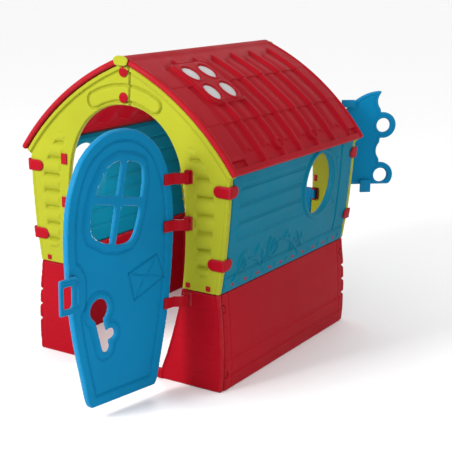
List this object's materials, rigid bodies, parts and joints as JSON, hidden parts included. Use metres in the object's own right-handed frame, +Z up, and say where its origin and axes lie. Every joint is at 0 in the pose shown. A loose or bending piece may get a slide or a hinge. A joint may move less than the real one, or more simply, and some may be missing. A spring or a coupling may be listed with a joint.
{
  "type": "plastic playhouse",
  "caption": "Moulded plastic garden playhouse with a curved roof, an egg-shaped front door, oval side windows, interlocking window shutters and a half-door at the back.",
  "frame": {"origin": "on the ground under the middle of the playhouse's extent as stored, with the front door and the shutters open", "axes": "+Z up, -Y towards the front door, +X to the right of someone looking at the front door"},
  "size_m": [0.9424, 1.7146, 1.1],
  "materials": {
    "red_plastic": "satin moulded",
    "yellow_plastic": "satin moulded",
    "blue_plastic": "satin moulded",
    "wall_blue_plastic": "satin moulded",
    "clear_plastic": "clear moulded",
    "lime_plastic": "satin moulded"
  },
  "bodies": {
    "house": {"front_base": "red_plastic", "back_base": "red_plastic", "side_base_right": "red_plastic", "side_base_left": "red_plastic", "front_gable_left": "yellow_plastic", "front_gable_right": "yellow_plastic", "back_gable_left": "yellow_plastic", "back_gable_right": "yellow_plastic", "side_wall_right": "wall_blue_plastic", "side_wall_left": "wall_blue_plastic", "roof_right": "red_plastic", "roof_left": "red_plastic", "skylight_right": "clear_plastic", "skylight_left": "clear_plastic", "door_bracket_upper": "red_plastic", "door_bracket_middle": "red_plastic", "door_bracket_lower": "red_plastic", "slot_plug_upper": "red_plastic", "slot_plug_middle": "red_plastic", "slot_plug_lower": "red_plastic", "shutter_bracket_right_upper": "red_plastic", "shutter_bracket_right_middle": "red_plastic", "shutter_bracket_left_upper": "red_plastic", "shutter_bracket_left_middle": "red_plastic", "half_door_bracket_upper": "red_plastic", "half_door_bracket_lower": "red_plastic", "clip_front_right_top": "red_plastic", "clip_front_right_high": "red_plastic", "clip_front_right_low": "red_plastic", "clip_front_right_bottom": "red_plastic", "clip_front_left_top": "red_plastic", "clip_front_left_high": "red_plastic", "clip_front_left_low": "red_plastic", "clip_front_left_bottom": "red_plastic", "clip_back_right_top": "blue_plastic", "clip_back_right_high": "blue_plastic", "clip_back_right_low": "blue_plastic", "clip_back_right_bottom": "blue_plastic", "clip_back_left_top": "blue_plastic", "clip_back_left_high": "blue_plastic", "clip_back_left_low": "blue_plastic", "clip_back_left_bottom": "blue_plastic", "front_cap_upper": "red_plastic", "front_cap_lower": "red_plastic", "back_cap_upper": "red_plastic", "back_cap_lower": "red_plastic"},
    "front_door": {"front_door": "blue_plastic", "door_strap_upper": "red_plastic", "door_strap_middle": "red_plastic", "door_strap_lower": "red_plastic"},
    "shutter_right": {"shutter_right": "blue_plastic", "shutter_strap_right_upper": "red_plastic", "shutter_strap_right_middle": "red_plastic"},
    "shutter_left": {"shutter_left": "blue_plastic", "shutter_strap_left_upper": "red_plastic", "shutter_strap_left_middle": "red_plastic"},
    "half_door": {"half_door": "blue_plastic"},
    "latch": {"half_door_latch": "lime_plastic"}
  },
  "joints": [
    {"name": "front_door_hinge", "type": "hinge", "parent": "house", "child": "front_door", "pos_m": [0.24974, -0.33587, 0.52], "axis": [0, 0, 1], "range_deg": [-80, 75]},
    {"name": "shutter_right_hinge", "type": "hinge", "parent": "house", "child": "shutter_right", "pos_m": [0.24974, 0.61613, 0.65], "axis": [0, 0, 1], "range_deg": [-20, 138]},
    {"name": "shutter_left_hinge", "type": "hinge", "parent": "house", "child": "shutter_left", "pos_m": [-0.27426, 0.61613, 0.65], "axis": [0, 0, 1], "range_deg": [-138, 20]},
    {"name": "half_door_hinge", "type": "hinge", "parent": "house", "child": "half_door", "pos_m": [0.24974, 0.56813, 0.4], "axis": [0, 0, 1], "range_deg": [0, 100]},
    {"name": "latch_turn", "type": "hinge", "parent": "house", "child": "latch", "pos_m": [-0.27426, 0.60213, 0.31], "axis": [0, 1, 0], "range_deg": [0, 90]}
  ]
}
